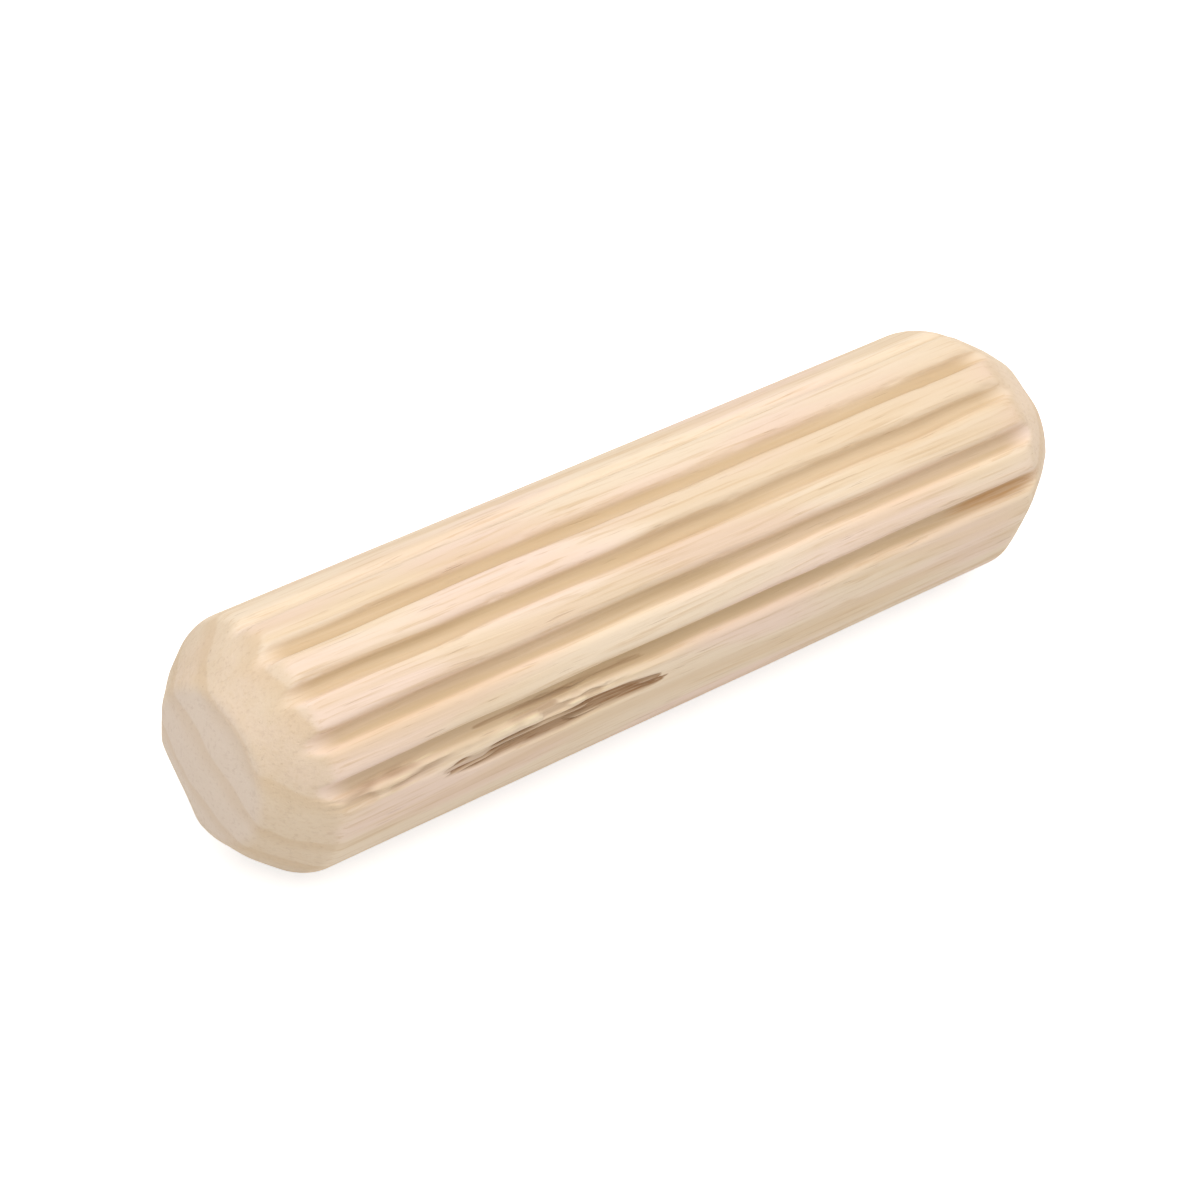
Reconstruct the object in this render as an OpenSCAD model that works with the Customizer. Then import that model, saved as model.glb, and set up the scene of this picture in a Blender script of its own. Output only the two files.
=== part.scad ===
/* [Pin] */
// Outside diameter across the ridges
pin_d = 10; // [9:0.5:16]
// Overall length from end face to end face
pin_length = 40; // [30:1:80]

/* [Ends] */
// Length of each chamfer along the pin, before its edges are rounded
chamfer_length = 2.65; // [1.5:0.05:4]
// Diameter of each sawn end face, before its rim is rounded
end_face_d = 6; // [4:0.1:7]
// Radius that rounds the shoulder between the barrel and a chamfer
shoulder_round = 1.5; // [0.3:0.1:2]
// Radius that rounds the rim of an end face
rim_round = 0.5; // [0.1:0.05:0.8]

/* [Flutes] */
// Number of flutes cut into each of the two fluted faces
flutes_per_face = 5; // [2:1:7]
// Angle between neighbouring flutes in degrees
flute_pitch = 22.5; // [18:0.5:25]
// Radius of the rounded bed of a flute
flute_round = 0.38; // [0.3:0.01:0.42]
// Depth of a flute below the ridges
flute_depth = 0.42; // [0.2:0.01:0.42]
// Depth of the first flute of each face, which the cutter only grazes
grazed_depth = 0.2; // [0.1:0.01:0.42]
// Radius that rounds both lips of a flute
lip_round = 0.3; // [0.2:0.01:0.32]
// Turn of the upper face against the lower one in degrees
face_offset = -10; // [-12:0.5:8]

/* [Torn grain] */
// Length of the long split in the plain side
split_length = 10.5; // [4:0.5:14]
// Width of the long split
split_width = 0.34; // [0.2:0.02:0.6]
// Depth of the long split
split_depth = 0.5; // [0.2:0.05:0.8]
// Place of the long split along the pin, measured from the middle
split_x = -7.2; // [-8:0.1:8]
// Height of the long split round the barrel in degrees above the side
split_angle = 1.5; // [-5:0.5:3]
// Length of the short split in the last flute
nick_length = 5.5; // [3:0.5:10]
// Width of the short split
nick_width = 0.24; // [0.1:0.02:0.4]
// Depth of the short split below the ridges, more than a flute's
nick_depth = 0.6; // [0.45:0.05:0.8]
// Place of the short split along the pin, measured from the middle
nick_x = -6.4; // [-8:0.1:8]
// Turn of the short split from the middle of the last flute in degrees
nick_turn = -0.5; // [-1.5:0.5:1.5]

/* [Hidden] */
// Steps round the barrel and the ends, then round the flutes and their lips
$fn = 96;
fine_fn = 48;
// How far a cut runs past the surface that it opens
overcut = 1;
full_turn = 360;
half_turn = full_turn / 2;
right_angle = full_turn / 4;
// Colour of the bare wood
wood = [0.91, 0.82, 0.68];

pin_r = pin_d / 2;
half_length = pin_length / 2;
end_face_r = end_face_d / 2;
// The chamfer falls by this angle from the barrel towards the axis
chamfer_angle = atan2(pin_r - end_face_r, chamfer_length);
// Straight lengths that each rounding takes off the edges beside it
shoulder_cut = shoulder_round * tan(chamfer_angle / 2);
rim_cut = rim_round * tan((right_angle - chamfer_angle) / 2);
shoulder_x = half_length - chamfer_length;

// The lowest flute of the resting pin points straight down
lower_start = -right_angle + flute_pitch;
upper_start = lower_start + half_turn + face_offset;
nick_angle = upper_start - (flutes_per_face - 1) * flute_pitch + nick_turn;

// Distance of a flute's bed centre from the pin's axis
function bed_centre(depth) = pin_r - depth + flute_round;

// Angle from a flute's middle to the centre of its lip
function lip_angle(depth) =
    let (lip = pin_r - lip_round)
    let (bed = bed_centre(depth))
    let (reach = flute_round + lip_round)
    acos((lip * lip + bed * bed - reach * reach) / (2 * lip * bed));

// The right-hand outline of one end, from the barrel to the middle of the end face
function end_outline(side) = [
    [pin_r, side * (shoulder_x - shoulder_cut)],
    [pin_r - shoulder_cut * sin(chamfer_angle), side * (shoulder_x + shoulder_cut * cos(chamfer_angle))],
    [end_face_r + rim_cut * sin(chamfer_angle), side * (half_length - rim_cut * cos(chamfer_angle))],
    [end_face_r - rim_cut, side * half_length],
    [0, side * half_length]
];

// The rounded edges of one end
module end_rounds(side) {
    translate([pin_r - shoulder_round, side * (shoulder_x - shoulder_cut)])
        circle(r = shoulder_round);
    translate([end_face_r - rim_cut, side * (half_length - rim_round)])
        circle(r = rim_round, $fn = fine_fn);
}

// The plain turned pin with a rounded chamfer at each end
module blank() {
    rotate([0, right_angle, 0])
        rotate_extrude() {
            intersection() {
                union() {
                    polygon(concat(
                        end_outline(1),
                        [for (i = [len(end_outline(1)) - 1:-1:0]) end_outline(-1)[i]]
                    ));
                    end_rounds(1);
                    end_rounds(-1);
                }
                translate([0, -pin_length])
                    square([pin_d, 2 * pin_length]);
            }
        }
}

// The section of one flute with a rounded lip on each side, pointing along +X
module flute_section(depth) {
    bed = bed_centre(depth);
    turn = lip_angle(depth);
    lip_r = pin_r - lip_round;
    lip = [lip_r * cos(turn), lip_r * sin(turn)];
    outer = pin_r + overcut;
    translate([bed, 0])
        circle(r = flute_round, $fn = fine_fn);
    difference() {
        // Bed and lip meet where this outline crosses from one circle into the other
        polygon([
            [bed, 0],
            [lip[0], -lip[1]],
            [outer * cos(turn), -outer * sin(turn)],
            [outer * cos(turn), outer * sin(turn)],
            lip
        ]);
        translate(lip)
            circle(r = lip_round, $fn = fine_fn);
        translate([lip[0], -lip[1]])
            circle(r = lip_round, $fn = fine_fn);
    }
}

// Turns a cut that points along +X out of the side at an angle above the near side
module at_angle(angle) {
    rotate([-angle, 0, 0])
        rotate([0, 0, -right_angle])
            children();
}

// One flute cut from end to end
module flute(depth, angle) {
    at_angle(angle)
        translate([0, half_length + overcut, 0])
            rotate([right_angle, 0, 0])
                linear_extrude(height = pin_length + 2 * overcut)
                    flute_section(depth);
}

// All flutes of one face, the grazed one first
module fluted_face(start) {
    flute(grazed_depth, start);
    for (i = [1:flutes_per_face - 1])
        flute(flute_depth, start - i * flute_pitch);
}

// A split that is deepest in its middle and runs out at both ends
module split(length, width, depth, place, angle) {
    blade_r = (length * length / 4 + depth * depth) / (2 * depth);
    at_angle(angle)
        translate([pin_r - depth + blade_r, place, 0])
            cylinder(r = blade_r, h = width, center = true);
}

// The whole pin, lying on its side with its axis along X
module pin() {
    color(wood)
        difference() {
            blank();
            fluted_face(upper_start);
            fluted_face(lower_start);
            split(split_length, split_width, split_depth, split_x, split_angle);
            split(nick_length, nick_width, nick_depth, nick_x, nick_angle);
        }
}

pin();
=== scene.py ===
"""Dresses the fluted dowel pin: its milled and torn surface, its bare birch, the table, light and camera.

Lengths are millimetres until a mesh, a lamp or the camera is placed, and angles are degrees.
An angle on the pin is measured above its near side: 0 faces the near side and 90 faces up.
"""

import logging
import math
from dataclasses import dataclass, field
from enum import Enum

import bpy
import numpy as np
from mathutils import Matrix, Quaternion, Vector


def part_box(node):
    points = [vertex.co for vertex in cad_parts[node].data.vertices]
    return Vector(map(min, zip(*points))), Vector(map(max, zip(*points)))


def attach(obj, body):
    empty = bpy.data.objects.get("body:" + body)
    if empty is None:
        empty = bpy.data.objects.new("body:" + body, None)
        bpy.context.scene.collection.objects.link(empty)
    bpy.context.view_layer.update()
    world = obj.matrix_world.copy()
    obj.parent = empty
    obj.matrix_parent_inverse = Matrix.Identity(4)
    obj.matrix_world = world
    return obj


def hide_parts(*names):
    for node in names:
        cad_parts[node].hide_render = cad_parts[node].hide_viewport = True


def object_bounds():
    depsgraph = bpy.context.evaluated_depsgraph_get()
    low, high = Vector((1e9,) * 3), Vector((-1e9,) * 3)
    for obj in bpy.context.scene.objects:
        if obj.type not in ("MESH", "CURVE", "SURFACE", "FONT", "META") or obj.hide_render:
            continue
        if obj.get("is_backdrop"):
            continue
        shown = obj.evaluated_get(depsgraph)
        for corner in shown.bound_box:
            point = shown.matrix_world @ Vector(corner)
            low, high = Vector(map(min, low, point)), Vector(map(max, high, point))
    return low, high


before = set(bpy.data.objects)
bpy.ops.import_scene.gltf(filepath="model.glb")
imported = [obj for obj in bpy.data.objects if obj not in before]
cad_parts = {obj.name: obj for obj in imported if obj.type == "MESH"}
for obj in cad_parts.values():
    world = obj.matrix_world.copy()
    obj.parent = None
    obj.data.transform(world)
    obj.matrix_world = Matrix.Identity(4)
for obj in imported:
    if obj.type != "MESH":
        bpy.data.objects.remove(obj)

LOG = logging.getLogger("dowel_pin")
MM = 0.001
FULL_TURN = 360.0
NEARLY_NOTHING = 1e-6

Number = float | np.ndarray
Colour = tuple[float, float, float, float]


class Cut(Enum):
    """The two depths that the fluting cutter reaches below the barrel."""

    GRAZED = 0.2
    FULL = 0.42


class Mark(Enum):
    """What the mesh tells the birch about each point, each one an attribute from 0 to 1."""

    # flute: how deep a point lies in a flute; the birch paints the beds darker with it, partly the cutter's
    # burnish and partly painted shade in the hollow.
    FLUTE = "flute"
    CUT_END = "cut_end"
    FACE = "face"
    # torn: how dark the flakes and splits are painted, partly the brown of torn wood and partly painted
    # shade in their hollows.
    TORN_AND_SHADE = "torn"
    FRAYED = "frayed"
    STAIN = "stain"


def ease(value: Number, low: Number, high: Number) -> Number:
    """Runs smoothly from 0 at low to 1 at high, as 3t^2 - 2t^3 with t the share of the way.

    Args:
        value: What is measured.
        low: Where the result leaves 0.
        high: Where the result reaches 1.

    Returns:
        The eased share, 0 to 1.
    """
    t = np.clip((value - low) / (high - low), 0.0, 1.0)
    return t * t * (3.0 - 2.0 * t)


def soft_lower(first: np.ndarray, second: np.ndarray, blend: float) -> np.ndarray:
    """Takes the lower of two heights and rounds the corner where they cross.

    Where they differ by less than blend, the lower one sinks by h^2 * blend / 4 more,
    and h rises from 0 at that difference to 1 where both are equal.

    Args:
        first: One height.
        second: The other height.
        blend: Difference over which the corner is rounded.

    Returns:
        The rounded lower height.
    """
    h = np.clip(blend - np.abs(first - second), 0.0, None) / blend
    return np.minimum(first, second) - h * h * blend / 4.0


def turned_from(angle: Number, middle: Number) -> Number:
    """Gives how far an angle lies past a middle one, from -180 to 180 degrees.

    Args:
        angle: Angle round the pin.
        middle: The angle to measure from.

    Returns:
        The shortest turn from the middle to the angle.
    """
    return np.mod(angle - middle + FULL_TURN / 2, FULL_TURN) - FULL_TURN / 2


def paint(code: str) -> Colour:
    """Turns a colour written as six hex digits into the linear colour that a shader takes.

    Args:
        code: The colour as it shows on a screen, such as "F3DCC1".

    Returns:
        Linear red, green and blue, and 1 for alpha.
    """
    shown = np.array([int(code[i : i + 2], 16) for i in (0, 2, 4)]) / 255.0
    linear = np.where(shown <= 0.04045, shown / 12.92, ((shown + 0.055) / 1.055) ** 2.4)
    return (*linear.tolist(), 1.0)


@dataclass
class GrainField:
    """A smooth random field from -1 to 1 over the pin, which closes on itself round the barrel.

    Random values sit on a lattice of cells, and each point blends the four corners of its cell.
    """

    rng: np.random.Generator
    cell_length: float
    cells_round: int
    reach: float = 24.0

    def __post_init__(self) -> None:
        """Draws the lattice."""
        cells_along = int(2 * self.reach / self.cell_length) + 2
        self.lattice = self.rng.uniform(-1.0, 1.0, (cells_along, self.cells_round))

    def at(self, along: Number, angle: Number) -> np.ndarray:
        """Reads the field.

        Args:
            along: Place along the pin.
            angle: Angle round the pin.

        Returns:
            The field's value at each place.
        """
        u = (along + self.reach) / self.cell_length
        v = np.mod(angle / FULL_TURN, 1.0) * self.cells_round
        u, v = np.broadcast_arrays(u, v)
        i, j = np.floor(u).astype(int), np.floor(v).astype(int)
        s, t = ease(u - i, 0.0, 1.0), ease(v - j, 0.0, 1.0)
        j, k = j % self.cells_round, (j + 1) % self.cells_round
        near = self.lattice[i, j] * (1.0 - t) + self.lattice[i, k] * t
        far = self.lattice[i + 1, j] * (1.0 - t) + self.lattice[i + 1, k] * t
        return near * (1.0 - s) + far * s


@dataclass
class FluteCutter:
    """The round-nosed cutter of the flutes, which leaves a softened lip on both sides."""

    barrel_r: float
    bed_round: float = 0.38
    lip_round: float = 0.3
    bed_steps: int = 11
    lip_steps: int = 5

    def _section(self, depth: Number) -> tuple[Number, Number, Number]:
        """Finds how bed, lip and barrel meet in the section of a flute.

        The triangle between the axis, the bed's centre and the lip's centre gives the lip's angle
        by the law of cosines, and bed and lip touch on the line between their centres.

        Args:
            depth: Depth of the flute below the barrel.

        Returns:
            Distance of the bed's centre from the axis, angle from the flute's middle to the
            lip's centre, and angle of the touching line to the flute's middle, both in radians.
        """
        bed = self.barrel_r - depth + self.bed_round
        lip = self.barrel_r - self.lip_round
        reach = self.bed_round + self.lip_round
        turn = np.arccos((lip**2 + bed**2 - reach**2) / (2.0 * lip * bed))
        wall = np.arctan2(lip * np.sin(turn), bed - lip * np.cos(turn))
        return bed, turn, wall

    def radius(self, offset: np.ndarray, depth: Number) -> np.ndarray:
        """Gives the pin's radius beside the middle of a flute.

        In the bed it is the near crossing of a ray from the axis with the bed's circle, on a lip
        the far crossing with the lip's circle, and past the lip it is the barrel's radius.

        Args:
            offset: Angle from the middle of the flute.
            depth: Depth of the flute, one number or one for each offset.

        Returns:
            The radius at each offset.
        """
        bed, turn, wall = self._section(depth)
        lip = self.barrel_r - self.lip_round
        touch = np.arctan2(self.bed_round * np.sin(wall), bed - self.bed_round * np.cos(wall))
        side = np.radians(np.abs(offset))
        bed_gap = np.clip(self.bed_round**2 - (bed * np.sin(side)) ** 2, 0.0, None)
        lip_gap = np.clip(self.lip_round**2 - (lip * np.sin(side - turn)) ** 2, 0.0, None)
        in_bed = bed * np.cos(side) - np.sqrt(bed_gap)
        on_lip = lip * np.cos(side - turn) + np.sqrt(lip_gap)
        return np.where(side < touch, in_bed, np.where(side < turn, on_lip, self.barrel_r))

    def offsets(self, depth: float) -> np.ndarray:
        """Gives the angles across one flute that follow its section in even steps.

        Points stand evenly on the bed's arc and on both lips' arcs. A point's angle is the
        arctangent of its height beside the middle over its distance along the middle.

        Args:
            depth: Depth of the flute.

        Returns:
            Angles from the flute's middle, in rising order.
        """
        bed, turn, wall = self._section(depth)
        lip = self.barrel_r - self.lip_round
        swing = np.linspace(-wall, wall, self.bed_steps)
        on_bed = np.arctan2(self.bed_round * np.sin(swing), bed - self.bed_round * np.cos(swing))
        swing = np.linspace(-wall, turn, self.lip_steps)[1:]
        across = lip * np.sin(turn) + self.lip_round * np.sin(swing)
        on_lip = np.arctan2(across, lip * np.cos(turn) + self.lip_round * np.cos(swing))
        return np.degrees(np.concatenate([-on_lip[::-1], on_bed, on_lip]))


@dataclass(frozen=True)
class FlutedFace:
    """One fluted face of the pin, whose first flute is only grazed."""

    first_angle: float
    pitch: float = 22.5
    cuts: tuple[Cut, ...] = (Cut.GRAZED, Cut.FULL, Cut.FULL, Cut.FULL, Cut.FULL)

    def flutes(self) -> list[tuple[float, float]]:
        """Gives the angle and the depth of each flute, from the grazed one down."""
        return [(self.first_angle - i * self.pitch, cut.value) for i, cut in enumerate(self.cuts)]


@dataclass(frozen=True)
class Split:
    """A split along the grain that is deepest in its middle and runs out at both ends.

    Its wall rises over a span of the half width, and strands that held over a span of their
    strength bridge it.
    """

    middle: float
    angle: float
    length: float
    width: float
    depth: float
    climb: float = 0.0
    bluntness: float = 0.4
    broken: float = 0.4
    # How dark its open part is painted: the brown of torn wood together with painted shade in the crack.
    darkness: float = 1.0
    wall_span: tuple[float, float] = (0.6, 1.4)
    bridged: float = 0.62
    strong_span: tuple[float, float] = (0.05, 0.8)

    def cut(
        self, height: np.ndarray, along: np.ndarray, angle: np.ndarray, strands: np.ndarray, barrel_r: float
    ) -> tuple[np.ndarray, np.ndarray]:
        """Cuts the split into the surface.

        With t from -1 to 1 over its length, its bed lies the square root of 1 - t^2 times its
        depth below the barrel, and its width is a power of 1 - t^2. Every strand of fibres broke
        at its own place and at its own depth, which shifts t and lifts the bed.

        Args:
            height: Height of the surface above the axis.
            along: Place along the pin.
            angle: Angle round the pin.
            strands: How long each strand of fibres held, from -1 to 1.
            barrel_r: Radius of the barrel.

        Returns:
            The height after the cut, and how dark the split is painted at each point: the brown of its torn
            wood and painted shade in the crack.
        """
        t = (along - self.middle + self.broken * strands) * 2.0 / self.length
        run_out = np.clip(1.0 - t * t, 0.0, 1.0)
        aside = np.abs(np.radians(turned_from(angle, self.angle + self.climb * t / 2.0))) * barrel_r
        half_width = self.width / 2.0 * run_out**self.bluntness + NEARLY_NOTHING
        inside = (run_out > 0.0) * (1.0 - ease(aside / half_width, *self.wall_span))
        opened = 1.0 - self.bridged * ease(strands, *self.strong_span)
        bed = barrel_r - self.depth * np.sqrt(run_out) * opened
        return height - inside * np.clip(height - bed, 0.0, None), self.darkness * inside * opened


@dataclass(frozen=True)
class Patch:
    """An oval patch of the surface with soft edges."""

    middle: float
    angle: float
    half_length: float
    half_angle: float
    core: float = 0.35

    def cover(self, along: np.ndarray, angle: np.ndarray) -> np.ndarray:
        """Gives the patch's strength: 1 in its core, easing to 0 at its oval edge.

        The core is a share of the way from the middle to the edge.

        Args:
            along: Place along the pin.
            angle: Angle round the pin.

        Returns:
            The strength, 0 to 1.
        """
        aside = turned_from(angle, self.angle) / self.half_angle
        far = np.hypot((along - self.middle) / self.half_length, aside)
        return 1.0 - ease(far, self.core, 1.0)


@dataclass(frozen=True)
class Flat:
    """A flat that tumbling knocked off the cone and the rim of an end."""

    angle: float
    depth: float
    soft_edge: float = 0.14
    reach: float = 60.0

    def lower(self, height: np.ndarray, angle: np.ndarray) -> np.ndarray:
        """Takes the flat off a round of points.

        A flat that lies its depth below the round, square to its own angle b, stands
        (height - depth) / cos(a - b) from the axis at the angle a.

        Args:
            height: Height of the surface above the axis.
            angle: Angle round the pin.

        Returns:
            The height with the flat.
        """
        aside = np.radians(np.clip(turned_from(angle, self.angle), -self.reach, self.reach))
        return soft_lower(height, (height - self.depth) / np.cos(aside), self.soft_edge)


@dataclass(frozen=True)
class EndCutter:
    """How one end was chamfered and sawn: its cone, its rim and how far the cutter sat off centre."""

    chamfer_length: float
    face_r: float = 3.0
    rim_round: float = 0.8
    off_centre: float = 0.0
    off_angle: float = 0.0
    bulge: float = 0.18
    flats: tuple[Flat, ...] = ()
    cone_rows: int = 30
    rim_rows: int = 7
    face_rings: int = 11

    def slope(self, barrel_r: float) -> float:
        """Gives the fall of the cone for each millimetre towards the end."""
        return (barrel_r - self.face_r) / self.chamfer_length

    def rows(self, half_length: float, barrel_r: float, start: float) -> np.ndarray:
        """Lays rows from the barrel over the cone and the rim to the middle of the sawn face.

        On the cone the height above the axis is the straight line of the chamfer, carried on
        past the barrel. The rim is an arc that touches the cone and the face, and the face's
        rows are rings that shrink to the middle.

        Args:
            half_length: Distance of the face from the pin's middle.
            barrel_r: Radius of the barrel.
            start: Distance from the pin's middle at which the rows start.

        Returns:
            An array with one row for each ring of points: distance from the middle, height,
            share of the way across the rim, and share of the face's radius.
        """
        slope = self.slope(barrel_r)
        tilt = math.atan(slope)
        rim_cut = self.rim_round * math.tan((math.pi / 2 - tilt) / 2)
        flat_r = self.face_r - rim_cut
        rim_x = half_length - self.rim_round * (1.0 - math.sin(tilt))
        cone_x = np.linspace(start, rim_x, self.cone_rows + 1)[:-1]
        cone_h = barrel_r + (half_length - self.chamfer_length - cone_x) * slope
        bend = np.linspace(tilt, math.pi / 2, self.rim_rows)
        rim = half_length - self.rim_round * (1.0 - np.sin(bend))
        rim_h = flat_r + self.rim_round * np.cos(bend)
        share = np.linspace(1.0, 0.0, self.face_rings + 2)[1:-1]
        along = np.concatenate([cone_x, rim, np.full(share.size, half_length)])
        height = np.concatenate([cone_h, rim_h, share * flat_r])
        across_rim = ease(bend, tilt, math.pi / 2)
        over_rim = np.concatenate([np.zeros(cone_x.size), across_rim, np.ones(share.size)])
        hub = np.concatenate([np.ones(cone_x.size + rim.size), share])
        return np.stack([along, height, over_rim, hub], axis=1)


@dataclass
class DowelPin:
    """The whole pin: a turned barrel with ten flutes, two chamfered ends and torn grain.

    Each value whose name ends in span is where something eases in: from nothing at its first
    number to all at its second.
    """

    half_length: float
    barrel_r: float
    faces: tuple[FlutedFace, ...] = (FlutedFace(first_angle=102.5), FlutedFace(first_angle=-67.5))
    left: EndCutter = EndCutter(
        chamfer_length=2.65,
        off_centre=0.18,
        off_angle=70.0,
        bulge=0.28,
        flats=(Flat(angle=225.0, depth=0.45), Flat(angle=178.0, depth=0.12)),
    )
    right: EndCutter = EndCutter(
        chamfer_length=3.0,
        off_centre=0.06,
        off_angle=20.0,
        flats=(Flat(angle=-18.0, depth=0.26), Flat(angle=62.0, depth=0.12)),
    )
    splits: tuple[Split, ...] = (
        Split(middle=-7.6, angle=-1.5, length=10.0, width=0.68, depth=0.3, bluntness=0.16),
        Split(middle=-7.2, angle=11.6, length=8.4, width=0.3, depth=0.56, climb=-1.0, darkness=0.5),
    )
    frayed: tuple[Patch, ...] = (
        Patch(middle=-14.9, angle=6.0, half_length=3.8, half_angle=6.5),
        Patch(middle=-7.8, angle=6.5, half_length=6.0, half_angle=4.0),
    )
    stain: Patch = Patch(middle=15.2, angle=12.0, half_length=3.4, half_angle=4.6)
    shoulder_blend: float = 0.34
    end_reach: float = 4.0
    barrel_rows: int = 190
    strip_step: float = 2.0
    torn_zone: tuple[float, float] = (-7.0, 18.0)
    torn_step: float = 0.45
    fill_samples: int = 200
    uneven_pressure: float = 0.14
    cutter_stray: float = 0.45
    split_stray: float = 0.5
    waviness: float = 0.02
    fibre_relief: float = 0.012
    lip_chip: float = 0.08
    chip_span: tuple[float, float] = (0.45, 0.9)
    unround: float = 0.08
    flute_starts: float = 0.02
    bed_span: tuple[float, float] = (0.15, 1.0)
    bed_over_cone_span: tuple[float, float] = (0.0, 1.1)
    lip_rise_span: tuple[float, float] = (0.0, 0.04)
    lip_fall_span: tuple[float, float] = (0.1, 0.5)
    cone_span: tuple[float, float] = (-0.12, 0.2)
    flake_depth: float = 0.14
    flake_shade: float = 0.48
    flake_span: tuple[float, float] = (-0.7, 0.2)
    flake_by_strand: float = 0.5
    saw_relief: float = 0.02
    saw_reach: float = 1.6
    saw_spread: float = 3.0
    seed: int = 4
    name: str = "birch_pin"
    cutter: FluteCutter = field(init=False)
    rng: np.random.Generator = field(init=False)

    def __post_init__(self) -> None:
        """Sets up the cutter and the random draws."""
        self.cutter = FluteCutter(self.barrel_r)
        self.rng = np.random.default_rng(self.seed)

    def flutes(self) -> list[tuple[float, float]]:
        """Gives the angle and the depth of all ten flutes."""
        return [flute for face in self.faces for flute in face.flutes()]

    def column_angles(self) -> np.ndarray:
        """Lays the columns of points round the pin, close in the flutes and the torn strip.

        Each flute brings the angles that follow its section, and each gap between two of them
        is filled to the step that its place asks for.

        Returns:
            Angles in rising order, over one full turn.
        """
        cut = [angle + self.cutter.offsets(depth) for angle, depth in self.flutes()]
        marks = np.sort(np.mod(np.concatenate(cut), FULL_TURN))
        gaps = np.diff(np.append(marks, marks[0] + FULL_TURN))
        fills = [self._fill(start, gap) for start, gap in zip(marks, gaps)]
        return np.sort(np.concatenate([marks, *fills]))

    def _fill(self, start: float, gap: float) -> np.ndarray:
        """Lays columns inside one gap, closer over the torn strip.

        The number of steps from the gap's start is the running sum of angle over step, and
        columns stand where it takes evenly spaced values.

        Args:
            start: Angle at which the gap starts.
            gap: Width of the gap.

        Returns:
            The new angles, without the gap's two ends.
        """
        fine = np.linspace(start, start + gap, self.fill_samples)
        angle = turned_from(fine, 0.0)
        low, high = self.torn_zone
        torn = ease(angle, low - self.strip_step, low) * (1.0 - ease(angle, high, high + self.strip_step))
        step = self.strip_step + (self.torn_step - self.strip_step) * torn
        steps = np.concatenate([[0.0], np.cumsum(np.diff(fine) / step[1:])])
        even = np.linspace(0.0, steps[-1], math.ceil(steps[-1]) + 1)[1:-1]
        return np.interp(even, steps, fine)

    def _barrel(self, along: np.ndarray, angle: np.ndarray) -> tuple[np.ndarray, np.ndarray]:
        """Gives the radius of the fluted barrel and how deep in a flute each point lies.

        The radius is the lowest that any flute leaves, each with a depth and a middle that
        stray slowly along the pin. The depth share is the fall below the barrel over the full
        depth.

        Args:
            along: Place along the pin, as a column.
            angle: Angle round the pin, as a row.

        Returns:
            The radius and the depth share, over the grid.
        """
        radius = np.full(np.broadcast_shapes(along.shape, angle.shape), self.barrel_r)
        pressure = GrainField(self.rng, cell_length=4.0, cells_round=36)
        stray = GrainField(self.rng, cell_length=3.0, cells_round=36)
        for middle, depth in self.flutes():
            here = depth * (1.0 + self.uneven_pressure * pressure.at(along, middle))
            strayed = middle + self.cutter_stray * stray.at(along, middle)
            radius = np.minimum(radius, self.cutter.radius(turned_from(angle, strayed), here))
        sunk = ease(self.barrel_r - radius, self.flute_starts, Cut.FULL.value)
        return radius, sunk

    def _relief(self, along: np.ndarray, angle: np.ndarray, lip: np.ndarray) -> np.ndarray:
        """Gives what handling, drying and dull cutters took off the barrel.

        It adds a slow waviness, fine fibres that run along the pin, and chips on the lips of the
        flutes where a short-celled field is high. Each part is a field lifted to be positive.

        Args:
            along: Place along the pin, as a column.
            angle: Angle round the pin, as a row.
            lip: How much each point lies on the lip of a flute, over the grid.

        Returns:
            The depth to take off, never negative.
        """
        wave = GrainField(self.rng, cell_length=7.0, cells_round=9).at(along, angle) + 1.0
        long_fibre = GrainField(self.rng, cell_length=3.2, cells_round=260).at(along, angle)
        short_fibre = GrainField(self.rng, cell_length=1.3, cells_round=180).at(along, angle)
        chipped = GrainField(self.rng, cell_length=0.9, cells_round=210).at(along, angle)
        slow = self.waviness / 2.0 * wave
        fine = self.fibre_relief / 4.0 * (long_fibre + short_fibre + 2.0)
        return slow + fine + self.lip_chip * ease(chipped, *self.chip_span) * lip

    def surface(self) -> tuple[np.ndarray, dict[Mark, np.ndarray]]:
        """Works out the pin's skin as rings of points from the left face to the right one.

        A point's height above the axis is the soft lower of the fluted barrel and the turned
        end, less the relief and the splits. A place p along the pin and an angle a put it at
        (p, -height * cos a, height * sin a).

        Returns:
            Points over the grid of rings and columns, and a value over the grid for each mark.
        """
        start = self.half_length - self.end_reach
        right = self.right.rows(self.half_length, self.barrel_r, start)
        left = self.left.rows(self.half_length, self.barrel_r, start)[::-1]
        barrel = np.linspace(-start, start, self.barrel_rows + 2)[1:-1]
        along = np.concatenate([-left[:, 0], barrel, right[:, 0]])[:, None]
        rim = np.concatenate([left[:, 2], np.zeros(barrel.size), right[:, 2]])[:, None]
        hub = np.concatenate([left[:, 3], np.ones(barrel.size), right[:, 3]])[:, None]
        angle = self.column_angles()[None, :]
        turned = self._turned(along, angle, left, right, barrel.size) * hub
        fluted, sunk = self._barrel(along, angle)
        height = soft_lower(fluted, turned, self.shoulder_blend)
        on_cone = ease(fluted - turned, *self.cone_span)
        lip = ease(sunk, *self.lip_rise_span) * (1.0 - ease(sunk, *self.lip_fall_span)) * (1.0 - on_cone)
        strands = GrainField(self.rng, cell_length=1.6, cells_round=300).at(along, angle)
        frayed = np.max([patch.cover(along, angle) for patch in self.frayed], axis=0)
        flaked = GrainField(self.rng, cell_length=0.7, cells_round=75).at(along, angle)
        flakes = ease(flaked + self.flake_by_strand * strands, *self.flake_span)
        height = height - self._relief(along, angle, lip) * hub * (1.0 - rim)
        height = height - self.flake_depth * frayed * flakes
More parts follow.
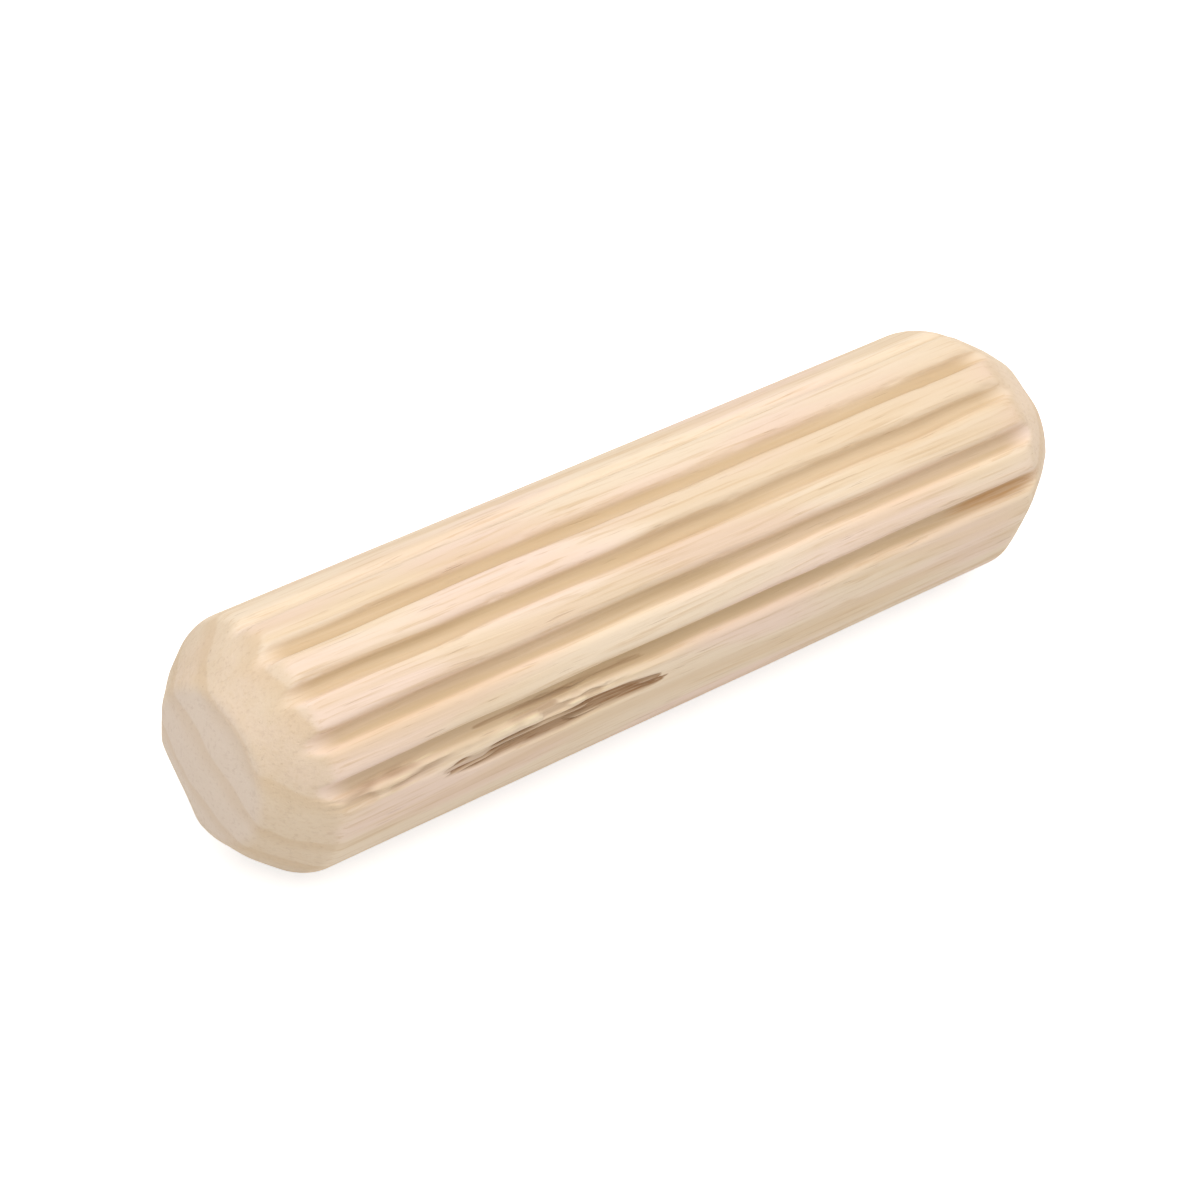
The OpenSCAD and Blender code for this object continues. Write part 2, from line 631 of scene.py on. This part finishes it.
        # The flakes and splits are painted darker: partly the brown of torn wood, partly painted shade in
        # their hollows.
        torn = self.flake_shade * frayed * flakes * (1.0 - on_cone)
        stray = GrainField(self.rng, cell_length=1.3, cells_round=12).at(along, 0.0)
        bent = angle + self.split_stray * stray
        for split in self.splits:
            height, opened = split.cut(height, along, bent, strands, self.barrel_r)
            torn = np.maximum(torn, opened)
        place = along - np.sign(along) * self._face_dents(along, angle, hub)
        turn = np.radians(angle)
        place = np.broadcast_to(place, height.shape)
        points = np.stack([place, -height * np.cos(turn), height * np.sin(turn)], axis=2)
        marks = {
            Mark.FLUTE: ease(sunk, *self.bed_span) * ease(turned - fluted, *self.bed_over_cone_span),
            Mark.CUT_END: on_cone,
            Mark.FACE: np.broadcast_to(rim, height.shape),
            Mark.TORN_AND_SHADE: torn,
            Mark.FRAYED: frayed * (1.0 - on_cone) * (1.0 - flakes),
            Mark.STAIN: self.stain.cover(along, angle),
        }
        return points, marks

    def _turned(
        self, along: np.ndarray, angle: np.ndarray, left: np.ndarray, right: np.ndarray, barrel_rows: int
    ) -> np.ndarray:
        """Gives the height of the turned ends over the grid.

        It is each row's height, moved by d * cos(a - b) for a cutter that sat d off centre
        towards the angle b, less the end's flats, and moved by a slow unevenness. Over the
        barrel it is out of reach.

        Args:
            along: Place along the pin, as a column.
            angle: Angle round the pin, as a row.
            left: Rows of the left end.
            right: Rows of the right end.
            barrel_rows: Number of rows on the barrel.

        Returns:
            The height at each point, before the face's rings shrink.
        """
        unround = GrainField(self.rng, cell_length=6.0, cells_round=9).at(along, angle) * self.unround
        parts = []
        for cutter, rows in ((self.left, left), (self.right, right)):
            lift = cutter.off_centre * np.cos(np.radians(angle - cutter.off_angle))
            whole = rows[:, 1:2] / rows[:, 3:4] + lift
            for flat in cutter.flats:
                whole = flat.lower(whole, angle)
            parts.append(whole)
        barrel = np.full((barrel_rows, angle.size), 2.0 * self.barrel_r)
        return np.concatenate([parts[0], barrel, parts[1]]) + unround

    def _face_dents(self, along: np.ndarray, angle: np.ndarray, hub: np.ndarray) -> np.ndarray:
        """Gives how far the sawn faces lie inside the pin's full length.

        A face falls off by its bulge times the square of the distance from its middle, and
        the saw left it slightly uneven.

        Args:
            along: Place along the pin, as a column.
            angle: Angle round the pin, as a row.
            hub: Share of the face's radius, as a column.

        Returns:
            The depth of the dents, never negative.
        """
        bulge = np.where(along < 0.0, self.left.bulge, self.right.bulge)
        fade = ease(np.abs(along), self.half_length - self.saw_reach, self.half_length)
        saw = GrainField(self.rng, cell_length=0.8, cells_round=24)
        uneven = self.saw_relief * (saw.at(hub * self.saw_spread * np.sign(along), angle) + 1.0)
        return (bulge * hub**2 + uneven * hub) * fade

    def build(self) -> bpy.types.Object:
        """Closes the skin at both poles and puts it into a mesh that stands for the CAD pin.

        Returns:
            The finished piece, at the origin.
        """
        points, marks = self.surface()
        rings, columns = points.shape[:2]
        pole = np.array([[self.half_length, 0.0, 0.0]])
        skin = np.concatenate([-pole, points.reshape(-1, 3), pole]) * MM
        ids = 1 + np.arange(rings * columns).reshape(rings, columns)
        beside = np.roll(ids, -1, axis=1)
        quads = np.stack([ids[:-1], ids[1:], beside[1:], beside[:-1]], axis=2).reshape(-1, 4)
        first = np.stack([np.zeros(columns, int), ids[0], beside[0]], axis=1)
        last = np.stack([np.full(columns, len(skin) - 1), beside[-1], ids[-1]], axis=1)
        mesh = bpy.data.meshes.new(self.name)
        corners = np.concatenate([quads.ravel(), first.ravel(), last.ravel()])
        sides = np.concatenate([np.full(len(quads), 4), np.full(2 * columns, 3)])
        mesh.vertices.add(len(skin))
        mesh.vertices.foreach_set("co", skin.ravel())
        mesh.loops.add(corners.size)
        mesh.loops.foreach_set("vertex_index", corners.astype(np.int32))
        mesh.polygons.add(sides.size)
        mesh.polygons.foreach_set("loop_start", (np.cumsum(sides) - sides).astype(np.int32))
        mesh.polygons.foreach_set("use_smooth", np.ones(sides.size, bool))
        mesh.update(calc_edges=True)
        for mark, values in marks.items():
            spread = np.concatenate([values[0, :1], values.ravel(), values[-1, :1]])
            layer = mesh.attributes.new(mark.value, "FLOAT", "POINT")
            layer.data.foreach_set("value", spread.astype(np.float32))
        piece = bpy.data.objects.new(self.name, mesh)
        bpy.context.scene.collection.objects.link(piece)
        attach(piece, "root")
        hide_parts("pin")
        return piece

    def dress(self, piece: bpy.types.Object, finish: "BirchFinish") -> None:
        """Gives the piece its finish."""
        piece.data.materials.append(finish.material())


class Board:
    """Lays nodes in one tree and joins them by short calls."""

    def __init__(self, tree: bpy.types.NodeTree) -> None:
        """Starts on an empty tree."""
        self.tree = tree
        tree.nodes.clear()

    def put(self, kind: str, feeds: dict[int | str, object], **choices: object) -> bpy.types.Node:
        """Adds one node.

        Args:
            kind: Blender's name for the node's type.
            feeds: What goes into each input, a value or another node's output.
            choices: The node's own settings.

        Returns:
            The new node.
        """
        node = self.tree.nodes.new(kind)
        for name, choice in choices.items():
            setattr(node, name, choice)
        for name, feed in feeds.items():
            if isinstance(feed, bpy.types.NodeSocket):
                self.tree.links.new(feed, node.inputs[name])
            else:
                node.inputs[name].default_value = feed
        return node

    def mark(self, mark: Mark) -> bpy.types.NodeSocket:
        """Reads one of the mesh's marks."""
        return self.put("ShaderNodeAttribute", {}, attribute_name=mark.value).outputs["Fac"]

    def sum_up(self, operation: str, first: object, second: object = 0.0) -> bpy.types.NodeSocket:
        """Joins two numbers by one of Blender's math operations."""
        return self.put("ShaderNodeMath", {0: first, 1: second}, operation=operation).outputs[0]

    def times(self, first: object, second: object) -> bpy.types.NodeSocket:
        """Multiplies two numbers."""
        return self.sum_up("MULTIPLY", first, second)

    def join(self, operation: str, first: object, second: object) -> bpy.types.NodeSocket:
        """Joins two vectors by one of Blender's vector operations."""
        return self.put("ShaderNodeVectorMath", {0: first, 1: second}, operation=operation).outputs[0]

    def scaled(self, vector: bpy.types.NodeSocket, by: tuple[float, float, float]) -> bpy.types.NodeSocket:
        """Stretches or shrinks a place along each axis."""
        return self.put("ShaderNodeMapping", {"Vector": vector, "Scale": by}).outputs[0]

    def noise(self, vector: bpy.types.NodeSocket, detail: float, rough: float) -> bpy.types.NodeSocket:
        """Reads soft noise with cells one unit wide."""
        feeds = {"Vector": vector, "Scale": 1.0, "Detail": detail, "Roughness": rough}
        return self.put("ShaderNodeTexNoise", feeds).outputs["Fac"]

    def window(
        self, value: bpy.types.NodeSocket, low: float, high: float, bottom: float = 0.0, top: float = 1.0
    ) -> bpy.types.NodeSocket:
        """Eases a value from bottom at low to top at high.

        Args:
            value: The value to ease.
            low: Where the easing starts.
            high: Where it ends.
            bottom: Result at low and before it.
            top: Result at high and past it.

        Returns:
            The eased value.
        """
        feeds = {"Value": value, "From Min": low, "From Max": high, "To Min": bottom, "To Max": top}
        return self.put("ShaderNodeMapRange", feeds, interpolation_type="SMOOTHSTEP").outputs["Result"]

    def tint(self, base: object, over: str, share: object) -> bpy.types.NodeSocket:
        """Lays a colour over another.

        Args:
            base: The colour below, a socket or a linear colour.
            over: The colour above, as six hex digits.
            share: How much of the upper one shows, 0 to 1.

        Returns:
            The mixed colour.
        """
        node = self.put("ShaderNodeMix", {}, data_type="RGBA")
        for index, feed in ((0, share), (6, base), (7, paint(over))):
            if isinstance(feed, bpy.types.NodeSocket):
                self.tree.links.new(feed, node.inputs[index])
            else:
                node.inputs[index].default_value = feed
        return node.outputs[2]


@dataclass(frozen=True)
class BirchFinish:
    """Bare milled birch: cream wood with long fibres, faint year rings and short pores, with painted shade
    in its flute beds, splits and flakes.
    """

    name: str = "bare_birch"
    cream: str = "F4DFC4"
    rosy: str = "F5DBC7"
    straw: str = "E6C79B"
    late_wood: str = "D8B68A"
    pore: str = "A97F55"
    cone_wood: str = "E7D0B3"
    face_wood: str = "EFDCCA"
    end_pore: str = "B39072"
    # Flute beds: the cutter's burnish together with painted shade in the hollow of each flute.
    flute_burnish_and_shade: str = "D1B58F"
    # Torn wood's brown together with painted shade in the splits and flakes.
    split_wood_and_shade: str = "9A7048"
    frayed_wood: str = "F3E0BE"
    stained_wood: str = "C08A4E"
    heart: tuple[float, float] = (21.0, -44.0)
    ring_width: float = 1.7
    grain_slant: float = 0.035
    grain_bend: float = 1.1
    straw_share: float = 0.4
    late_share: float = 0.3
    fibre_share: float = 0.5
    pore_share: float = 0.25
    cone_share: float = 0.7
    face_share: float = 0.8
    end_ring_share: float = 0.24
    end_pore_share: float = 0.15
    relief: float = 0.45
    relief_depth: float = 0.05
    sheen: float = 0.35

    def _place(self, board: Board) -> bpy.types.NodeSocket:
        """Gives the place in the wood in millimetres, bent a little as real grain is."""
        where = board.put("ShaderNodeTexCoord", {}).outputs["Object"]
        place = board.scaled(where, (1.0 / MM, 1.0 / MM, 1.0 / MM))
        feeds = {"Vector": board.scaled(place, (0.05, 0.22, 0.22)), "Scale": 1.0, "Detail": 1.0}
        bend = board.put("ShaderNodeTexNoise", feeds).outputs["Color"]
        bend = board.join("SUBTRACT", bend, (0.5, 0.5, 0.5))
        bend = board.join("MULTIPLY", bend, (0.0, self.grain_bend, self.grain_bend))
        return board.join("ADD", place, bend)

    def _rings(self, board: Board, place: bpy.types.NodeSocket) -> bpy.types.NodeSocket:
        """Draws the year rings: 1 in the late wood of each ring, and 0 elsewhere.

        The distance from the tree's heart, over the width of a ring, leaves a fraction that
        runs from 0 to 1 within each ring. The late wood sets in slowly over the ring's second
        half and stops short at its end.
        """
        parts = board.put("ShaderNodeSeparateXYZ", {0: place}).outputs
        slant = board.times(parts["X"], self.grain_slant)
        across = board.sum_up("SUBTRACT", board.sum_up("ADD", parts["Y"], slant), self.heart[0])
        up = board.sum_up("SUBTRACT", parts["Z"], self.heart[1])
        feeds = {"X": 0.0, "Y": across, "Z": up}
        arm = board.put("ShaderNodeCombineXYZ", feeds).outputs[0]
        far = board.put("ShaderNodeVectorMath", {0: arm}, operation="LENGTH").outputs["Value"]
        wander = board.noise(board.scaled(place, (0.03, 0.3, 0.3)), 2.0, 0.5)
        turns = board.sum_up("ADD", board.sum_up("DIVIDE", far, self.ring_width), wander)
        share = board.sum_up("FRACT", turns)
        rise = board.window(share, 0.45, 0.9)
        fall = board.window(share, 0.92, 1.0, 1.0, 0.0)
        return board.times(rise, fall)

    def material(self) -> bpy.types.Material:
        """Builds the finish.

        Returns:
            The material, whose patterns read Object coordinates and the mesh's marks.
        """
        material = bpy.data.materials.new(self.name)
        material.use_nodes = True
        board = Board(material.node_tree)
        place = self._place(board)
        late = self._rings(board, place)
        fibre = board.noise(board.scaled(place, (0.22, 7.5, 7.5)), 3.0, 0.6)
        strand = board.noise(board.scaled(place, (0.07, 1.5, 1.5)), 2.0, 0.5)
        blush = board.noise(board.scaled(place, (0.09, 0.4, 0.4)), 1.0, 0.5)
        pores = board.window(board.noise(board.scaled(place, (0.5, 9.0, 9.0)), 1.0, 0.5), 0.68, 0.8)
        dots = board.window(board.noise(board.scaled(place, (1.5, 6.0, 6.0)), 2.0, 0.6), 0.52, 0.72)
        flute, cut_end, face = board.mark(Mark.FLUTE), board.mark(Mark.CUT_END), board.mark(Mark.FACE)
        torn, frayed, stain = board.mark(Mark.TORN_AND_SHADE), board.mark(Mark.FRAYED), board.mark(Mark.STAIN)

        wood = board.tint(paint(self.cream), self.rosy, board.window(blush, 0.42, 0.62))
        wood = board.tint(wood, self.straw, board.window(strand, 0.45, 0.72, top=self.straw_share))
        wood = board.tint(wood, self.late_wood, board.times(late, self.late_share))
        wood = board.tint(wood, self.late_wood, board.window(fibre, 0.5, 0.72, top=self.fibre_share))
        wood = board.tint(wood, self.pore, board.times(pores, self.pore_share))
        wood = board.tint(wood, self.cone_wood, board.times(cut_end, self.cone_share))
        wood = board.tint(wood, self.face_wood, board.times(face, self.face_share))
        ring = board.times(late, board.times(cut_end, self.end_ring_share))
        wood = board.tint(wood, self.late_wood, ring)
        on_end = board.times(dots, board.times(cut_end, self.end_pore_share))
        wood = board.tint(wood, self.end_pore, on_end)
        # Painted shade: the flute beds are painted darker the deeper they lie, partly the cutter's burnish
        # and partly shade in the hollow.
        bed = board.times(flute, board.window(strand, 0.35, 0.65, bottom=0.7))
        wood = board.tint(wood, self.flute_burnish_and_shade, bed)
        wisps = board.times(frayed, board.window(fibre, 0.5, 0.6))
        wood = board.tint(wood, self.frayed_wood, wisps)
        stained = board.times(stain, board.window(fibre, 0.4, 0.6, bottom=0.35, top=0.7))
        wood = board.tint(wood, self.stained_wood, stained)
        # Splits and flakes are painted brown and dark: torn wood's own brown with painted shade in the
        # hollows, lighter along some fibres.
        split_shade_by_fibre = board.window(fibre, 0.4, 0.6, bottom=0.98, top=0.66)
        broken = board.times(board.window(torn, 0.0, 0.9), split_shade_by_fibre)
        wood = board.tint(wood, self.split_wood_and_shade, broken)

        rough = board.window(fibre, 0.3, 0.7, bottom=0.6, top=0.78)
        lift = board.sum_up("SUBTRACT", fibre, board.times(pores, 0.5))
        lift = board.sum_up("SUBTRACT", lift, board.times(on_end, 0.8))
        feeds = {"Strength": self.relief, "Distance": self.relief_depth * MM, "Height": lift}
        normal = board.put("ShaderNodeBump", feeds).outputs[0]
        feeds = {"Base Color": wood, "Roughness": rough, "Normal": normal}
        shader = board.put("ShaderNodeBsdfPrincipled", feeds | {"Specular IOR Level": self.sheen})
        board.put("ShaderNodeOutputMaterial", {"Surface": shader.outputs[0]})
        return material


def seen_plainly(board: Board) -> bpy.types.NodeSocket:
    """Gives 1 on rays from the camera, a reflection or a clear piece, and 0 on rays of light."""
    path = board.put("ShaderNodeLightPath", {}).outputs
    mirrored = board.sum_up("MAXIMUM", path["Is Glossy Ray"], path["Is Transmission Ray"])
    return board.sum_up("MAXIMUM", path["Is Camera Ray"], mirrored)


@dataclass(frozen=True)
class Table:
    """The plain white table that the pin lies on."""

    half_width: float = 3000.0
    colour: str = "DCDCDC"
    seen_lift: float = 0.7
    name: str = "table_top"

    def build(self, height: float) -> bpy.types.Object:
        """Builds the table and dresses it.

        Its mesh is a square that keeps one height over both of its parameters.

        Args:
            height: Height of its top in metres.

        Returns:
            The table, marked as part of the stage.
        """
        edge = np.linspace(-self.half_width, self.half_width, 3) * MM
        across, away = np.meshgrid(edge, edge)
        top = np.stack([across, away, np.full_like(across, height)], axis=2).reshape(-1, 3)
        ids = np.arange(across.size).reshape(across.shape)
        tiles = np.stack([ids[:-1, :-1], ids[:-1, 1:], ids[1:, 1:], ids[1:, :-1]], axis=2).reshape(-1, 4)
        mesh = bpy.data.meshes.new(self.name)
        mesh.from_pydata(top.tolist(), [], tiles.tolist())
        mesh.materials.append(self.material())
        table = bpy.data.objects.new(self.name, mesh)
        bpy.context.scene.collection.objects.link(table)
        table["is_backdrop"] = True
        return table

    def material(self) -> bpy.types.Material:
        """Builds the matt white surface, which shows a little paler than it lights the pin."""
        material = bpy.data.materials.new(self.name)
        material.use_nodes = True
        board = Board(material.node_tree)
        feeds = {"Base Color": paint(self.colour), "Roughness": 0.9, "Specular IOR Level": 0.1}
        matt = board.put("ShaderNodeBsdfPrincipled", feeds).outputs[0]
        lift = board.times(seen_plainly(board), self.seen_lift)
        glow = board.put("ShaderNodeEmission", {"Strength": lift}).outputs[0]
        both = board.put("ShaderNodeAddShader", {0: matt, 1: glow}).outputs[0]
        board.put("ShaderNodeOutputMaterial", {"Surface": both})
        return material


@dataclass(frozen=True)
class SoftLight:
    """A light tent: even light from all round, and a broad lamp nearly overhead.

    The lamp's height is its angle above the table, and its bearing is 0 on the near side and
    falls towards the left end.
    """

    tent_strength: float = 0.44
    lamp_strength: float = 2.1
    lamp_spread: float = 75.0
    lamp_height: float = 78.0
    lamp_bearing: float = -20.0

    def build(self) -> None:
        """Builds the tent as the world and the lamp as a broad sun."""
        world = bpy.data.worlds.new("light_tent")
        world.use_nodes = True
        board = Board(world.node_tree)
        white = (1.0, 1.0, 1.0, 1.0)
        feeds = {"Color": white, "Strength": self.tent_strength}
        light = board.put("ShaderNodeBackground", feeds).outputs[0]
        seen = board.put("ShaderNodeBackground", {"Color": white, "Strength": 1.0}).outputs[0]
        mixed = board.put("ShaderNodeMixShader", {0: seen_plainly(board), 1: light, 2: seen}).outputs[0]
        board.put("ShaderNodeOutputWorld", {"Surface": mixed})
        bpy.context.scene.world = world
        lamp = bpy.data.lights.new("overhead_lamp", "SUN")
        lamp.energy = self.lamp_strength
        lamp.angle = math.radians(self.lamp_spread)
        carrier = bpy.data.objects.new("overhead_lamp", lamp)
        tilt, bearing = math.radians(self.lamp_height), math.radians(self.lamp_bearing)
        towards = (
            math.sin(bearing) * math.cos(tilt),
            -math.cos(bearing) * math.cos(tilt),
            math.sin(tilt),
        )
        carrier.rotation_mode = "QUATERNION"
        carrier.rotation_quaternion = Vector(towards).to_track_quat("Z", "Y")
        bpy.context.scene.collection.objects.link(carrier)


@dataclass(frozen=True)
class Viewpoint:
    """Where the camera stands, what it aims at, and how it is turned about its line of sight."""

    stand: tuple[float, float, float] = (-95.5, -98.8, 97.4)
    aim: tuple[float, float, float] = (-0.89, 0.36, -0.5)
    roll: float = 5.35
    lens: float = 132.8
    sensor: float = 36.0
    sight_m: tuple[float, float] = (0.005, 20.0)

    def build(self) -> bpy.types.Object:
        """Builds the camera and makes it the scene's own.

        Returns:
            The camera.
        """
        camera = bpy.data.cameras.new("photo_view")
        camera.lens = self.lens
        camera.sensor_width = self.sensor
        camera.clip_start, camera.clip_end = self.sight_m
        carrier = bpy.data.objects.new("photo_view", camera)
        stand, aim = Vector(self.stand) * MM, Vector(self.aim) * MM
        carrier.location = stand
        carrier.rotation_mode = "QUATERNION"
        level = (aim - stand).to_track_quat("-Z", "Y")
        carrier.rotation_quaternion = level @ Quaternion((0.0, 0.0, 1.0), math.radians(self.roll))
        bpy.context.scene.collection.objects.link(carrier)
        bpy.context.scene.camera = carrier
        return carrier


def report(label: str, piece: bpy.types.Object) -> None:
    """Logs a piece's name and its count of triangles.

    A face with n corners makes n - 2 triangles.

    Args:
        label: What the piece is.
        piece: The piece.
    """
    triangles = len(piece.data.loops) - 2 * len(piece.data.polygons)
    LOG.info("%s: %s, %d triangles", label, piece.name, triangles)


def main() -> None:
    """Builds the pin, the table, the light and the camera."""
    logging.basicConfig(level=logging.INFO, format="%(name)s: %(message)s")
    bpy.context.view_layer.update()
    low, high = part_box("pin")
    pin = DowelPin(half_length=(high[0] - low[0]) / 2.0 / MM, barrel_r=(high[1] - low[1]) / 2.0 / MM)
    piece = pin.build()
    pin.dress(piece, BirchFinish())
    report("pin", piece)
    scene_box = [list(corner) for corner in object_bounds()]
    report("table", Table().build(scene_box[0][2]))
    SoftLight().build()
    Viewpoint().build()
    bpy.context.scene.view_settings.view_transform = "Standard"


if __name__ == "__main__":
    main()
